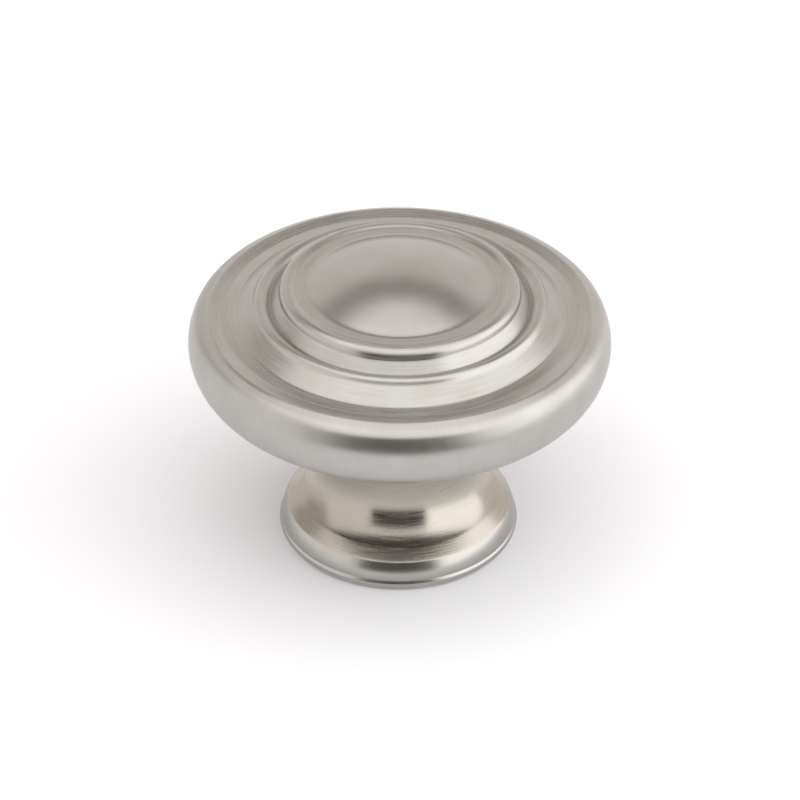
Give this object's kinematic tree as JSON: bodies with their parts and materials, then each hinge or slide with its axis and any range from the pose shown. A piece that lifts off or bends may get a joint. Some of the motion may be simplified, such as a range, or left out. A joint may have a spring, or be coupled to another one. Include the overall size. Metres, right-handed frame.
{
  "type": "cabinet knob",
  "caption": "Ringed round cabinet knob with a domed centre, stepped rings, a rolled rim, a waisted neck and a beaded foot, tapped from below for a machine screw.",
  "frame": {"origin": "centre of the mounting face under the foot, on the knob's axis", "axes": "+Z along the knob's axis from the mounting face to the dome; X and Y lie in the mounting face, and the knob is the same all round"},
  "size_m": [0.033, 0.033, 0.0242],
  "materials": {
    "satin_nickel": "satin nickel plate over die-cast zinc, brushed round the axis"
  },
  "bodies": {
    "root": {"knob": "satin_nickel"}
  },
  "joints": []
}
